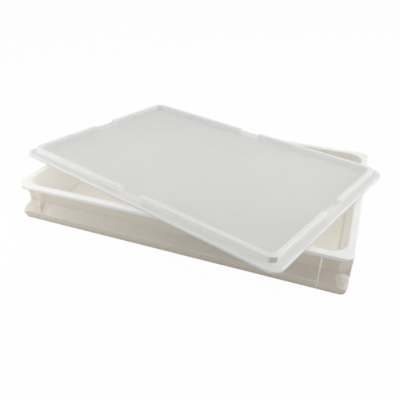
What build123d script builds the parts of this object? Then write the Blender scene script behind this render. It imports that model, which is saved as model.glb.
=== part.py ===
"""Euro-format stacking tray crate with a loose lid lying askew on its rim. Millimetres, +Z up.

The origin is the centre of the crate's footprint at floor level. X runs along the long sides
and -Y is the front. The crate is one moulding and the lid is another.
"""
import os
from math import atan2, degrees

from build123d import *

# Overall sizes shared by the crate and its lid
crate_length = 600.0
crate_width = 400.0
crate_height = 75.0
wall = 2.5

# Rim: a flange round the top with a lip hanging from its outer edge
rim_width = 12.6
rim_depth = 7.0
rim_corner_radius = 15.0
rim_edge_round = 1.2
rim_inner_chamfer = 0.8
rim_chamfer_angle = 45.0

# Container: drafted walls rising from the floor to the inner edge of the rim
wall_draft = 8.0
inner_corner_radius = 20.0
floor_cove_radius = 6.0

# Foot: a skirt round the base that juts out below the wall and ends just above the ground. Its
# face is drawn in by one pair of insets on the long sides and by another on the ends
foot_clearance = 3.3
foot_top_inset = 1.0
foot_bottom_inset = 5.4
foot_end_inset = 0.3
foot_end_bottom_inset = 2.0
foot_edge_height = 20.6
foot_height = 38.0
foot_corner_radius = 2.5
foot_bottom_radius = 10.0
foot_hollow_radius = 2.0

# Corner posts on the short sides, cut across each corner and flared out to the foot and the rim
post_end = 58.0
post_reach = 42.0
waist_cut = 31.0
waist_top = 54.8
rim_corner_cut = 10.2
flare_width = 16.0
flare_tip_inset = 2.3
flare_tip_height = 14.0
flare_top_height = 34.0

# One upright rib beside each corner of the long sides
rib_thickness = 2.0
rib_from_end = 46.0
rib_proud = 0.7
rib_foot_clearance = 8.0

# Lid: a flange, a raised ridge that stops what is stacked on it, and a sunken panel
lid_corner_radius = 18.0
lid_skirt_height = 5.0
lid_spigot_clearance = 0.5
ridge_height = 10.5
ridge_width = 8.6
ridge_edge_round = 1.2
panel_drop = 5.5
notch_length = 50.0
notch_depth = 10.5
lid_edge_round = 1.2
pocket_size = 12.0
pocket_depth = 1.2
pocket_edge = 1.0

# Where the loose lid lies on the rim
lid_turn = -18.4
lid_shift_x = -17.0
lid_shift_y = 2.5
rest_gap = 0.3


def plan(side_inset, end_inset, height, radius):
    """The crate's footprint at one height, drawn in from the long sides and from the ends."""
    size = Rectangle(crate_length - 2 * end_inset, crate_width - 2 * side_inset)
    return Pos(0, 0, height) * fillet(size.vertices(), radius)


def outline(inset, height, radius):
    """The crate's footprint at one height, drawn in equally all round."""
    return plan(inset, inset, height, radius)


def tapered(low, high):
    """A solid between two plans, each given as its two insets, its height and its corner radius."""
    return loft([plan(*low).face(), plan(*high).face()])


def drafted(inset, radius, bottom, top):
    """A solid that leans out by the walls' draft as it rises, with its inset given at the bottom."""
    spread = wall_inset(bottom) - wall_inset(top)
    lean = degrees(atan2(spread, top - bottom))
    return extrude(outline(inset, bottom, radius), amount=top - bottom, taper=-lean)


def block(inset, radius, bottom, top):
    """A straight-sided solid on the crate's footprint."""
    return extrude(outline(inset, bottom, radius), amount=top - bottom)


def all_corners(piece):
    """The piece modelled at the corner on -X and -Y, with its mirror images at the others."""
    pair = piece + mirror(piece, about=Plane.YZ)
    return pair + mirror(pair, about=Plane.XZ)


def wall_inset(height):
    """Inset of the container's inner face, which leans out by the draft from floor to rim."""
    return rim_width + wall_draft * (crate_height - height) / (crate_height - wall)


def cavity():
    """The space inside the container, coved at the floor and chamfered at its mouth."""
    space = drafted(wall_inset(wall), inner_corner_radius, wall, crate_height)
    space = fillet(space.edges().group_by(Axis.Z)[0], floor_cove_radius)
    height = crate_height - rim_inner_chamfer
    radius = inner_corner_radius + wall_inset(wall) - wall_inset(height)
    return space + extrude(outline(wall_inset(height), height, radius), amount=rim_inner_chamfer,
                           taper=-rim_chamfer_angle)


def container():
    """The outside of the container, from the floor's underside to the rim."""
    body = drafted(wall_inset(0) - wall, inner_corner_radius + wall, 0, crate_height)
    return fillet(body.edges().group_by(Axis.Z)[0], floor_cove_radius + wall)


def rim():
    """The flange and its lip, hollow between the lip and the wall but closed behind the corners' slopes."""
    lip_bottom = crate_height - rim_depth
    flange = block(0, rim_corner_radius, lip_bottom, crate_height)
    flange = fillet(flange.edges().group_by(Axis.Z)[-1], rim_edge_round)
    hollow = block(wall, rim_corner_radius - wall, lip_bottom, crate_height - wall)
    return flange - (hollow - all_corners(Pos(wall, wall, 0) * waist_cutter()))


def foot():
    """The outside of the skirt and of the sloping ledge that ties it to the wall."""
    low = (foot_bottom_inset, foot_end_bottom_inset, foot_clearance, foot_bottom_radius)
    edge = (foot_top_inset, foot_end_inset, foot_edge_height, foot_corner_radius)
    root = wall_inset(foot_height) - wall
    ledge = (root, root, foot_height, foot_corner_radius)
    return tapered(low, edge) + tapered(edge, ledge)


def gutter():
    """The space behind the skirt and under its ledge, open underneath."""
    low = (foot_bottom_inset + wall, foot_end_bottom_inset + wall, 0, foot_bottom_radius - wall)
    edge_height = foot_edge_height - wall
    edge = (foot_top_inset + wall, foot_end_inset + wall, edge_height, foot_hollow_radius)
    ledge_height = foot_height - 2 * wall
    root = wall_inset(ledge_height) - wall
    ledge = (root, root, ledge_height, foot_hollow_radius)
    space = tapered(low, edge) + tapered(edge, ledge)
    return space - all_corners(Pos(wall, wall, 0) * above_flare())


def post_block(margin):
    """A corner post's body against the short side, its front flush with the long wall, drawn in by a margin."""
    bottom = foot_edge_height - margin
    top = crate_height - rim_depth - margin
    front_low = wall_inset(bottom) - wall + margin
    front_high = wall_inset(top) - wall + margin
    end = post_end - margin
    profile = Polyline((front_low, bottom), (front_high, top), (end, top), (end, bottom), close=True)
    corner = (foot_end_inset + margin - crate_length / 2, -crate_width / 2, 0)
    reach = post_reach - foot_end_inset - 2 * margin
    return Pos(*corner) * extrude(Plane.YZ * make_face(profile), amount=reach)


def waist_cutter():
    """The space cut away across a corner: upright at the waist and sloping out to the rim above it."""
    across = 2 ** 0.5
    flange_bottom = crate_height - wall
    profile = Polyline((-rim_width, 0), (waist_cut / across, 0), (waist_cut / across, waist_top),
                       (rim_corner_cut / across, flange_bottom), (-rim_width, flange_bottom), close=True)
    prism = extrude(Plane.XZ * make_face(profile), amount=crate_width / 4, both=True)
    return Pos(-crate_length / 2, -crate_width / 2, 0) * Rot(0, 0, 45) * prism


def above_flare():
    """The space above the two sloping faces that carry a corner out from the waist to the foot."""
    tip = Vector(flare_tip_inset, flare_tip_inset, flare_tip_height)
    top = Vector(waist_cut / 2, waist_cut / 2, flare_top_height)
    end = Vector(flare_width, foot_top_inset, foot_edge_height)
    space = Box(crate_width / 2, crate_width / 2, crate_height, align=(Align.CENTER, Align.CENTER, Align.MIN))
    front = Plane(origin=tip, z_dir=(end - tip).cross(top - tip)) * space
    side = mirror(front, about=Plane(origin=(0, 0, 0), z_dir=(1, -1, 0)))
    return Pos(-crate_length / 2, -crate_width / 2, 0) * (front + side)


def side_ribs():
    """Thin upright ribs on the long sides, standing a little proud of the skirt down to near its foot."""
    edge = foot_top_inset - rib_proud
    slope = (foot_bottom_inset - foot_top_inset) / (foot_edge_height - foot_clearance)
    low = edge + slope * (foot_edge_height - rib_foot_clearance)
    top = crate_height - wall
    back = wall_inset(0)
    profile = Polyline((edge, top), (edge, foot_edge_height), (low, rib_foot_clearance),
                       (back, rib_foot_clearance), (back, top), close=True)
    x = rib_from_end - rib_thickness / 2 - crate_length / 2
    return all_corners(Pos(x, -crate_width / 2, 0) * extrude(Plane.YZ * make_face(profile), amount=rib_thickness))


def make_crate():
    """The crate: one moulding, open at the top."""
    waist = waist_cutter()
    posts = all_corners(post_block(0) - waist)
    hollow_posts = all_corners(post_block(wall) - Pos(wall, wall, 0) * waist)
    base = foot() - all_corners(above_flare() & waist)
    outside = base + posts - hollow_posts - gutter()
    return outside + side_ribs() + (rim() - all_corners(waist)) + container() - cavity()


def lid_notches(margin):
    """Where the ridge is lowered at the middle of each side, grown by a margin below and at the ends."""
    bottom = lid_skirt_height + ridge_height - notch_depth - margin
    length = notch_length + 2 * margin
    up = (Align.CENTER, Align.CENTER, Align.MIN)
    across = Box(length, crate_width, notch_depth + margin, align=up)
    along = Box(crate_length, length, notch_depth + margin, align=up)
    return Pos(0, 0, bottom) * (across + along)


def lid_pockets():
    """Square pockets in the panel's four corners."""
    inset = rim_width + lid_spigot_clearance + ridge_width
    top = lid_skirt_height - panel_drop
    x = crate_length / 2 - inset - pocket_edge - pocket_size / 2
    y = crate_width / 2 - inset - pocket_edge - pocket_size / 2
    pocket = Box(pocket_size, pocket_size, pocket_depth, align=(Align.CENTER, Align.CENTER, Align.MAX))
    return Pos(0, 0, top) * all_corners(Pos(-x, -y, 0) * pocket)


def make_lid():
    """The lid in its own frame, with the lower edge of its skirt at height 0."""
    ridge_inset = rim_width + lid_spigot_clearance
    panel_inset = ridge_inset + ridge_width
    ridge_top = lid_skirt_height + ridge_height
    panel_top = lid_skirt_height - panel_drop
    underside = panel_top - wall
    ridge_radius = lid_corner_radius - wall
    panel_radius = ridge_radius - wall
    flange = block(0, lid_corner_radius, 0, lid_skirt_height)
    flange = fillet(flange.edges().group_by(Axis.Z)[-1], lid_edge_round)
    flange -= block(wall, lid_corner_radius - wall, 0, lid_skirt_height - wall)
    ridge = block(ridge_inset, ridge_radius, underside, ridge_top)
    ridge -= block(panel_inset, panel_radius, panel_top, ridge_top)
    ridge = fillet(ridge.edges().group_by(Axis.Z)[-1], ridge_edge_round)
    channel = block(ridge_inset + wall, panel_radius, underside, ridge_top - wall)
    channel -= block(panel_inset - wall, panel_radius, underside, ridge_top - wall)
    channel -= lid_notches(wall)
    return flange + ridge - lid_notches(0) - channel - lid_pockets()


def place_lid(shape):
    """The lid lying loose across the rim, turned and shifted, resting on its underside."""
    underside = lid_skirt_height - panel_drop - wall
    height = crate_height + rest_gap - underside
    return Pos(lid_shift_x, lid_shift_y, height) * Rot(0, 0, lid_turn) * shape


os.makedirs("parts", exist_ok=True)
export_step(make_crate(), "parts/crate.step")
export_step(place_lid(make_lid()), "parts/lid.step")
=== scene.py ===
import math

import bmesh
import bpy
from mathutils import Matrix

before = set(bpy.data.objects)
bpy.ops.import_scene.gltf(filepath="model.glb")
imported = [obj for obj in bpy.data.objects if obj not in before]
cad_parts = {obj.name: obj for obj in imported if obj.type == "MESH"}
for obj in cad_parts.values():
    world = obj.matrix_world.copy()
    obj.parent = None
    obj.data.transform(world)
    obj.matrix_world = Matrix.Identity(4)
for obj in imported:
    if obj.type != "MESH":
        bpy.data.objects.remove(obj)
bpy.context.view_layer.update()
scene = bpy.context.scene

# Camera: a little above the crate and close to its front right corner, so that the long front
# runs away to the left under the overhanging lid.
camera = bpy.data.objects.new("camera", bpy.data.cameras.new("camera"))
camera.location = (0.2650, -0.7507, 0.4670)
camera.rotation_euler = (math.radians(59.57), math.radians(-1.02), math.radians(20.86))
camera.data.sensor_width = 36.0
camera.data.lens = 39.9
camera.data.clip_start = 0.01
scene.collection.objects.link(camera)
scene.camera = camera
scene.view_settings.view_transform = "Standard"


# Studio: a white room that lights every side evenly. Soft boxes over the back, on the right and
# on the left make the ends of the crate bright and leave its long front a little darker.
def add_node(tree, kind, inputs=None, **settings):
    """A new node with its settings made, and with its sockets linked or set by name."""
    node = tree.nodes.new(kind)
    for name, value in settings.items():
        setattr(node, name, value)
    for socket, value in (inputs or {}).items():
        if isinstance(value, bpy.types.NodeSocket):
            tree.links.new(value, node.inputs[socket])
        else:
            node.inputs[socket].default_value = value
    return node


def maths(tree, operation, first, second=0.0):
    step = add_node(tree, "ShaderNodeMath", {0: first, 1: second}, operation=operation)
    return step.outputs["Value"]


def backdrop_mask(tree):
    """One where the backdrop is seen, mirrored or refracted, and zero where it lights the scene."""
    path = add_node(tree, "ShaderNodeLightPath")
    seen_or_mirrored = maths(
        tree, "MAXIMUM", path.outputs["Is Camera Ray"], path.outputs["Is Glossy Ray"])
    return maths(tree, "MAXIMUM", seen_or_mirrored, path.outputs["Is Transmission Ray"])


def mix_shaders(tree, mask, first, second):
    mix = add_node(tree, "ShaderNodeMixShader", {"Fac": mask, 1: first, 2: second})
    return mix.outputs["Shader"]


white = (1.0, 1.0, 1.0, 1.0)
studio = bpy.data.worlds.new("studio")
scene.world = studio
studio.use_nodes = True
room = studio.node_tree
room.nodes.clear()
room_light = add_node(room, "ShaderNodeBackground", {"Strength": 0.60, "Color": white})
backdrop = add_node(room, "ShaderNodeBackground", {"Strength": 1.0, "Color": white})
room_surface = mix_shaders(room, backdrop_mask(room), room_light.outputs["Background"],
                           backdrop.outputs["Background"])
add_node(room, "ShaderNodeOutputWorld", {"Surface": room_surface})


def soft_box(name, place, turn, size, power):
    lamp = bpy.data.objects.new(name, bpy.data.lights.new(name, "AREA"))
    lamp.location = place
    lamp.rotation_euler = [math.radians(angle) for angle in turn]
    lamp.data.shape = "RECTANGLE"
    lamp.data.size, lamp.data.size_y = size
    lamp.data.energy = power
    lamp.visible_camera = False
    scene.collection.objects.link(lamp)
    return lamp


soft_box("over_box", place=(0.0, 0.1, 1.3), turn=(0, 0, 0), size=(1.3, 0.9), power=2.8)
right_box = soft_box(
    "right_box", place=(1.9, 0.5, 0.8), turn=(90, 0, 105), size=(1.6, 1.2), power=22.5)
right_box.visible_glossy = False  # its glare would hide the lid's panel from the left
soft_box("left_box", place=(-0.62, -0.46, 0.22), turn=(80, 0, -58), size=(0.30, 0.20), power=1.4)

# Floor: a sheet of white studio paper under the crate. It looks almost as white as the room, with
# only a faint soft shadow, but it throws no more light on the crate than grey paper would.
paper = bpy.data.materials.new("studio_paper")
paper.use_nodes = True
tree = paper.node_tree
tree.nodes.clear()
pale = add_node(tree, "ShaderNodeBsdfDiffuse", {"Color": (0.92, 0.92, 0.92, 1.0)})
grey = add_node(tree, "ShaderNodeBsdfDiffuse", {"Color": (0.5, 0.5, 0.5, 1.0)})
glow = add_node(tree, "ShaderNodeEmission", {"Strength": 1.0, "Color": white})
share_of_glow = 0.96
seen_paper = mix_shaders(tree, share_of_glow, pale.outputs["BSDF"], glow.outputs["Emission"])
surface = mix_shaders(tree, backdrop_mask(tree), grey.outputs["BSDF"], seen_paper)
add_node(tree, "ShaderNodeOutputMaterial", {"Surface": surface})

sheet = bpy.data.meshes.new("floor")
ground = bmesh.new()
bmesh.ops.create_grid(ground, x_segments=1, y_segments=1, size=12.0)
ground.to_mesh(sheet)
ground.free()
sheet.materials.append(paper)
floor = bpy.data.objects.new("floor", sheet)
scene.collection.objects.link(floor)


# Crate: one injection moulding in natural polyethylene, a warm cream white that lets light
# through. The steel mould leaves a fine matt grain and faint clouds in the plastic, and stacking,
# sliding and washing rub its edges pale and leave fine scuffs on its faces. Its colour also holds
# painted shade, darker towards the foot and on the ledge, and painted light, paler on the rim and
# inside.
def fade(tree, value, start, end, low=0.0, high=1.0):
    ramp = add_node(tree, "ShaderNodeMapRange", {
        "Value": value,
        "From Min": start, "From Max": end,
        "To Min": low, "To Max": high})
    return ramp.outputs["Result"]


def noise(tree, position, scale, detail):
    texture = add_node(tree, "ShaderNodeTexNoise",
                       {"Vector": position, "Scale": scale, "Detail": detail})
    return texture.outputs["Fac"]


def mix_colours(tree, mask, first, second):
    mix = add_node(tree, "ShaderNodeMix", {"Factor": mask, "A": first, "B": second},
                   data_type="RGBA")
    return mix.outputs["Result"]


def new_group(name, inputs, outputs):
    group = bpy.data.node_groups.new(name, "ShaderNodeTree")
    for socket, kind, value in inputs:
        made = group.interface.new_socket(socket, in_out="INPUT", socket_type=kind)
        if value is not None:
            made.default_value = value
    for socket, kind in outputs:
        group.interface.new_socket(socket, in_out="OUTPUT", socket_type=kind)
    return group, add_node(group, "NodeGroupInput").outputs


def moulded_plastic():
    """The plastic as it leaves the mould: clouds, uneven gloss and a matt grain."""
    group, given = new_group(
        "moulded_plastic",
        [("Position", "NodeSocketVector", None),
         ("Colour", "NodeSocketColor", (0.8, 0.8, 0.8, 1.0)),
         ("Cloudiness", "NodeSocketFloat", 0.05),
         ("Smoothest", "NodeSocketFloat", 0.35),
         ("Roughest", "NodeSocketFloat", 0.58)],
        [("Colour", "NodeSocketColor"),
         ("Roughness", "NodeSocketFloat"),
         ("Height", "NodeSocketFloat")])
    position = given["Position"]
    cloud_colour = (0.50, 0.48, 0.43, 1.0)
    clouds = fade(group, noise(group, position, scale=7.0, detail=3.0), 0.35, 0.65)
    clouds = maths(group, "MULTIPLY", clouds, given["Cloudiness"])
    patches = noise(group, position, scale=45.0, detail=4.0)
    add_node(group, "NodeGroupOutput", {
        "Colour": mix_colours(group, clouds, given["Colour"], cloud_colour),
        "Roughness": fade(group, patches, 0.3, 0.7, given["Smoothest"], given["Roughest"]),
        "Height": noise(group, position, scale=1600.0, detail=2.0)})
    return group


def worn_edges(group, position):
    """Where an edge is sharper than the wear's radius, broken up into patches."""
    wear_radius = 0.0016
    rounded = add_node(group, "ShaderNodeBevel", {"Radius": wear_radius}, samples=4)
    facing = add_node(group, "ShaderNodeNewGeometry")
    agreement = add_node(group, "ShaderNodeVectorMath",
                         {0: rounded.outputs["Normal"], 1: facing.outputs["Normal"]},
                         operation="DOT_PRODUCT")
    edge = fade(group, agreement.outputs["Value"], 0.99, 0.85)
    patchy = fade(group, noise(group, position, scale=60.0, detail=5.0), 0.4, 0.62)
    return maths(group, "MULTIPLY", edge, patchy)


def fine_scuffs(group, position):
    """Two sets of thin scratches that cross, each noise drawn out along its own direction."""
    scuffs = 0.0
    for turn, stretch in ((25, (22.0, 1500.0, 90.0)), (-50, (30.0, 1800.0, 90.0))):
        lay = add_node(group, "ShaderNodeMapping", {
            "Vector": position,
            "Rotation": (0.0, 0.0, math.radians(turn)),
            "Scale": stretch})
        drawn_out = noise(group, lay.outputs["Vector"], scale=1.0, detail=1.0)
        scratches = fade(group, drawn_out, 0.72, 0.82)
        scuffs = maths(group, "MAXIMUM", scratches, scuffs)
    return scuffs


def handling_wear():
    """What use adds to the plastic: pale rubbed edges and scuffed faces, both rougher."""
    group, given = new_group(
        "handling_wear",
        [("Position", "NodeSocketVector", None),
         ("Colour", "NodeSocketColor", (0.8, 0.8, 0.8, 1.0)),
         ("Worn Colour", "NodeSocketColor", (0.9, 0.9, 0.9, 1.0)),
         ("Scuff Colour", "NodeSocketColor", (0.6, 0.6, 0.6, 1.0)),
         ("Roughness", "NodeSocketFloat", 0.45),
         ("Worn Roughness", "NodeSocketFloat", 0.65)],
        [("Colour", "NodeSocketColor"),
         ("Roughness", "NodeSocketFloat")])
    worn = worn_edges(group, given["Position"])
    scuffs = fine_scuffs(group, given["Position"])
    scuffed = mix_colours(group, scuffs, given["Colour"], given["Scuff Colour"])
    roughness = add_node(group, "ShaderNodeMix", {
        "Factor": maths(group, "MAXIMUM", worn, scuffs),
        "A": given["Roughness"],
        "B": given["Worn Roughness"]}, data_type="FLOAT")
    add_node(group, "NodeGroupOutput", {
        "Colour": mix_colours(group, worn, scuffed, given["Worn Colour"]),
        "Roughness": roughness.outputs["Result"]})
    return group


plastic = moulded_plastic()
wear = handling_wear()


def polyethylene(name, tone, cloudiness, worn_colour, scuff_colour, glow_radius, glow_depth,
                 passed_colour, light_passed):
    """A milky plastic. Light passes it, but the camera sees its surface."""
    finish = bpy.data.materials.new(name)
    finish.use_nodes = True
    tree = finish.node_tree
    tree.nodes.clear()
    position = add_node(tree, "ShaderNodeTexCoord").outputs["Object"]
    moulded = add_node(tree, "ShaderNodeGroup", {
        "Position": position,
        "Colour": tone(tree, position),
        "Cloudiness": cloudiness}, node_tree=plastic)
    used = add_node(tree, "ShaderNodeGroup", {
        "Position": position,
        "Colour": moulded.outputs["Colour"],
        "Roughness": moulded.outputs["Roughness"],
        "Worn Colour": worn_colour,
        "Scuff Colour": scuff_colour}, node_tree=wear)
    grain = add_node(tree, "ShaderNodeBump", {
        "Strength": 0.35,
        "Distance": 0.00006,
        "Height": moulded.outputs["Height"]})
    milky = add_node(tree, "ShaderNodeBsdfPrincipled", {
        "Base Color": used.outputs["Colour"],
        "Roughness": used.outputs["Roughness"],
        "Normal": grain.outputs["Normal"],
        "Specular IOR Level": 0.5,
        "Subsurface Weight": 1.0,
        "Subsurface Radius": glow_radius,
        "Subsurface Scale": glow_depth}).outputs["BSDF"]
    clear = add_node(tree, "ShaderNodeBsdfTransparent", {"Color": passed_colour}).outputs["BSDF"]
    letting_light_by = mix_shaders(tree, light_passed, milky, clear)
    path = add_node(tree, "ShaderNodeLightPath")
    surface = mix_shaders(tree, path.outputs["Is Camera Ray"], letting_light_by, milky)
    add_node(tree, "ShaderNodeOutputMaterial", {"Surface": surface})
    return finish


def height_colours(tree, rise, crate_height, stops):
    """A colour for each height, given in millimetres above the ground."""
    ramp = add_node(tree, "ShaderNodeValToRGB", {"Fac": rise})
    steps = ramp.color_ramp.elements
    for step, (height, colour) in zip(steps, (stops[0], stops[-1])):
        step.position, step.color = height / crate_height, colour
    for height, colour in stops[1:-1]:
        steps.new(height / crate_height).color = colour
    return ramp.outputs["Color"]


def inside_crate(tree, axes):
    """The faces on the inner side of the walls' middle and above the middle of the floor."""
    wall_lean = 0.1103
    middle_of_end_wall = 0.2804
    middle_of_side_wall = 0.1804
    corner_diagonal = 0.464
    middle_of_floor = 0.00125
    lean = maths(tree, "MULTIPLY", axes["Z"], wall_lean)
    from_middle = maths(tree, "ABSOLUTE", axes["X"])
    from_centre = maths(tree, "ABSOLUTE", axes["Y"])
    end_wall = maths(tree, "SUBTRACT", from_middle, lean)
    side_wall = maths(tree, "SUBTRACT", from_centre, lean)
    diagonal = maths(tree, "ADD", from_middle, from_centre)
    inside = maths(tree, "GREATER_THAN", axes["Z"], middle_of_floor)
    for distance, limit in ((end_wall, middle_of_end_wall), (side_wall, middle_of_side_wall),
                            (diagonal, corner_diagonal)):
        within = maths(tree, "LESS_THAN", distance, limit)
        inside = maths(tree, "MULTIPLY", inside, within)
    return inside


def crate_tone_and_painted_light(tree, position):
    """Cream plastic with painted shade, darker towards the foot and on the ledge, and painted
    light, paler on the rim and inside.
    """
    axes = add_node(tree, "ShaderNodeSeparateXYZ", {"Vector": position}).outputs
    crate_height = 75.0
    rise = fade(tree, axes["Z"], 0.0, crate_height / 1000)
    # Painted shade: the ledge is darker than the wall above and the band below.
    painted_ledge_shade = (0.60, 0.57, 0.515, 1.0)
    # Painted shade darkens the outside towards the foot; painted light makes the rim pale.
    outside = height_colours(tree, rise, crate_height, (
        (3.75, (0.52, 0.48, 0.43, 1.0)), (12.0, (0.645, 0.61, 0.555, 1.0)),
        (19.5, (0.67, 0.64, 0.59, 1.0)), (21.75, painted_ledge_shade), (37.5, painted_ledge_shade),
        (39.75, (0.69, 0.66, 0.60, 1.0)), (66.75, (0.74, 0.71, 0.65, 1.0)),
        (69.75, (0.93, 0.915, 0.885, 1.0))))
    # Painted light: the inside is paler than the outside, with a little painted shade on its floor.
    inside_painted_light = height_colours(tree, rise, crate_height, (
        (3.75, (0.89, 0.85, 0.78, 1.0)), (11.25, (0.94, 0.90, 0.835, 1.0))))
    return mix_colours(tree, inside_crate(tree, axes), outside, inside_painted_light)


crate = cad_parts["crate"]
crate.data.materials.clear()
crate.data.materials.append(polyethylene(
    "cream_polyethylene",
    tone=crate_tone_and_painted_light,
    cloudiness=0.10,
    worn_colour=(0.95, 0.935, 0.905, 1.0),
    scuff_colour=(0.80, 0.77, 0.71, 1.0),
    glow_radius=(1.0, 0.9, 0.75),
    glow_depth=0.006,
    passed_colour=(0.98, 0.965, 0.94, 1.0),
    light_passed=0.96))


# Lid: a single injection moulding in the same plastic without the cream tint, milky and cooler,
# laid askew on the rim. Its panel is thin and grey. Its flange and ridge are painted paler as
# painted light, brightest at the end that faces the light, and painted shade darkens the front
# towards the right and the ridge round the pocket in each corner.
def lid_tone_and_painted_light(tree, position):
    """Cool milky plastic: a grey panel, painted light on the border and its bright end, and painted
    shade on the front and round the corner pockets.
    """
    shift, turn = (-0.017, 0.0025, 0.0), (0.0, 0.0, math.radians(-18.4))
    panel_half_length, panel_half_width, panel_edge = 0.2783, 0.1783, 0.001
    painted_light_end_fade = (0.272, 0.284)
    front_fade = (-0.162, -0.196)
    front_length_fade = (-0.28, 0.28)
    pocket_corner_fade = (0.4626, 0.4634)
    pocket_bottom_fade = (0.0838, 0.0843)
    pocket_top_fade = (0.0928, 0.0920)
    square = add_node(tree, "ShaderNodeMapping", {
        "Vector": position, "Location": shift, "Rotation": turn}, vector_type="TEXTURE")
    axes = add_node(tree, "ShaderNodeSeparateXYZ", {"Vector": square.outputs["Vector"]}).outputs
    along, across, height = axes["X"], axes["Y"], axes["Z"]
    from_middle = maths(tree, "ABSOLUTE", along)
    from_centre = maths(tree, "ABSOLUTE", across)
    border = maths(
        tree, "MAXIMUM",
        fade(tree, from_middle, panel_half_length - panel_edge, panel_half_length),
        fade(tree, from_centre, panel_half_width - panel_edge, panel_half_width))
    # Painted light: the end of the lid that faces the light is bright.
    painted_light_end = fade(tree, along, *painted_light_end_fade)
    # Painted shade along the front, growing towards the right.
    front_side = fade(tree, across, *front_fade)
    to_the_right = fade(tree, along, *front_length_fade)
    painted_front_shade = maths(tree, "MULTIPLY", front_side, to_the_right)
    # Painted shade of the pocket in each corner, on the ridge round it.
    diagonal = maths(tree, "ADD", from_middle, from_centre)
    ridge_corner = fade(tree, diagonal, *pocket_corner_fade)
    above_flange = fade(tree, height, *pocket_bottom_fade)
    below_ridge_top = fade(tree, height, *pocket_top_fade)
    painted_pocket_shade = maths(tree, "MULTIPLY", ridge_corner, above_flange)
    painted_pocket_shade = maths(tree, "MULTIPLY", painted_pocket_shade, below_ridge_top)
    colour = (0.765, 0.77, 0.755, 1.0)
    # Painted light makes the border paler than the panel; then come the bright end, front shade and
    # pocket shade.
    for mask, next_colour in ((border, (0.87, 0.875, 0.87, 1.0)),
                              (painted_light_end, (0.96, 0.965, 0.955, 1.0)),
                              (painted_front_shade, (0.72, 0.725, 0.715, 1.0)),
                              (painted_pocket_shade, (0.46, 0.45, 0.435, 1.0))):
        colour = mix_colours(tree, mask, colour, next_colour)
    return colour


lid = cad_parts["lid"]
lid.data.materials.clear()
lid.data.materials.append(polyethylene(
    "milky_polyethylene",
    tone=lid_tone_and_painted_light,
    cloudiness=0.10,
    worn_colour=(0.95, 0.95, 0.945, 1.0),
    scuff_colour=(0.74, 0.74, 0.73, 1.0),
    glow_radius=(1.0, 1.0, 1.0),
    glow_depth=0.018,
    passed_colour=(0.98, 0.98, 0.975, 1.0),
    light_passed=0.89))
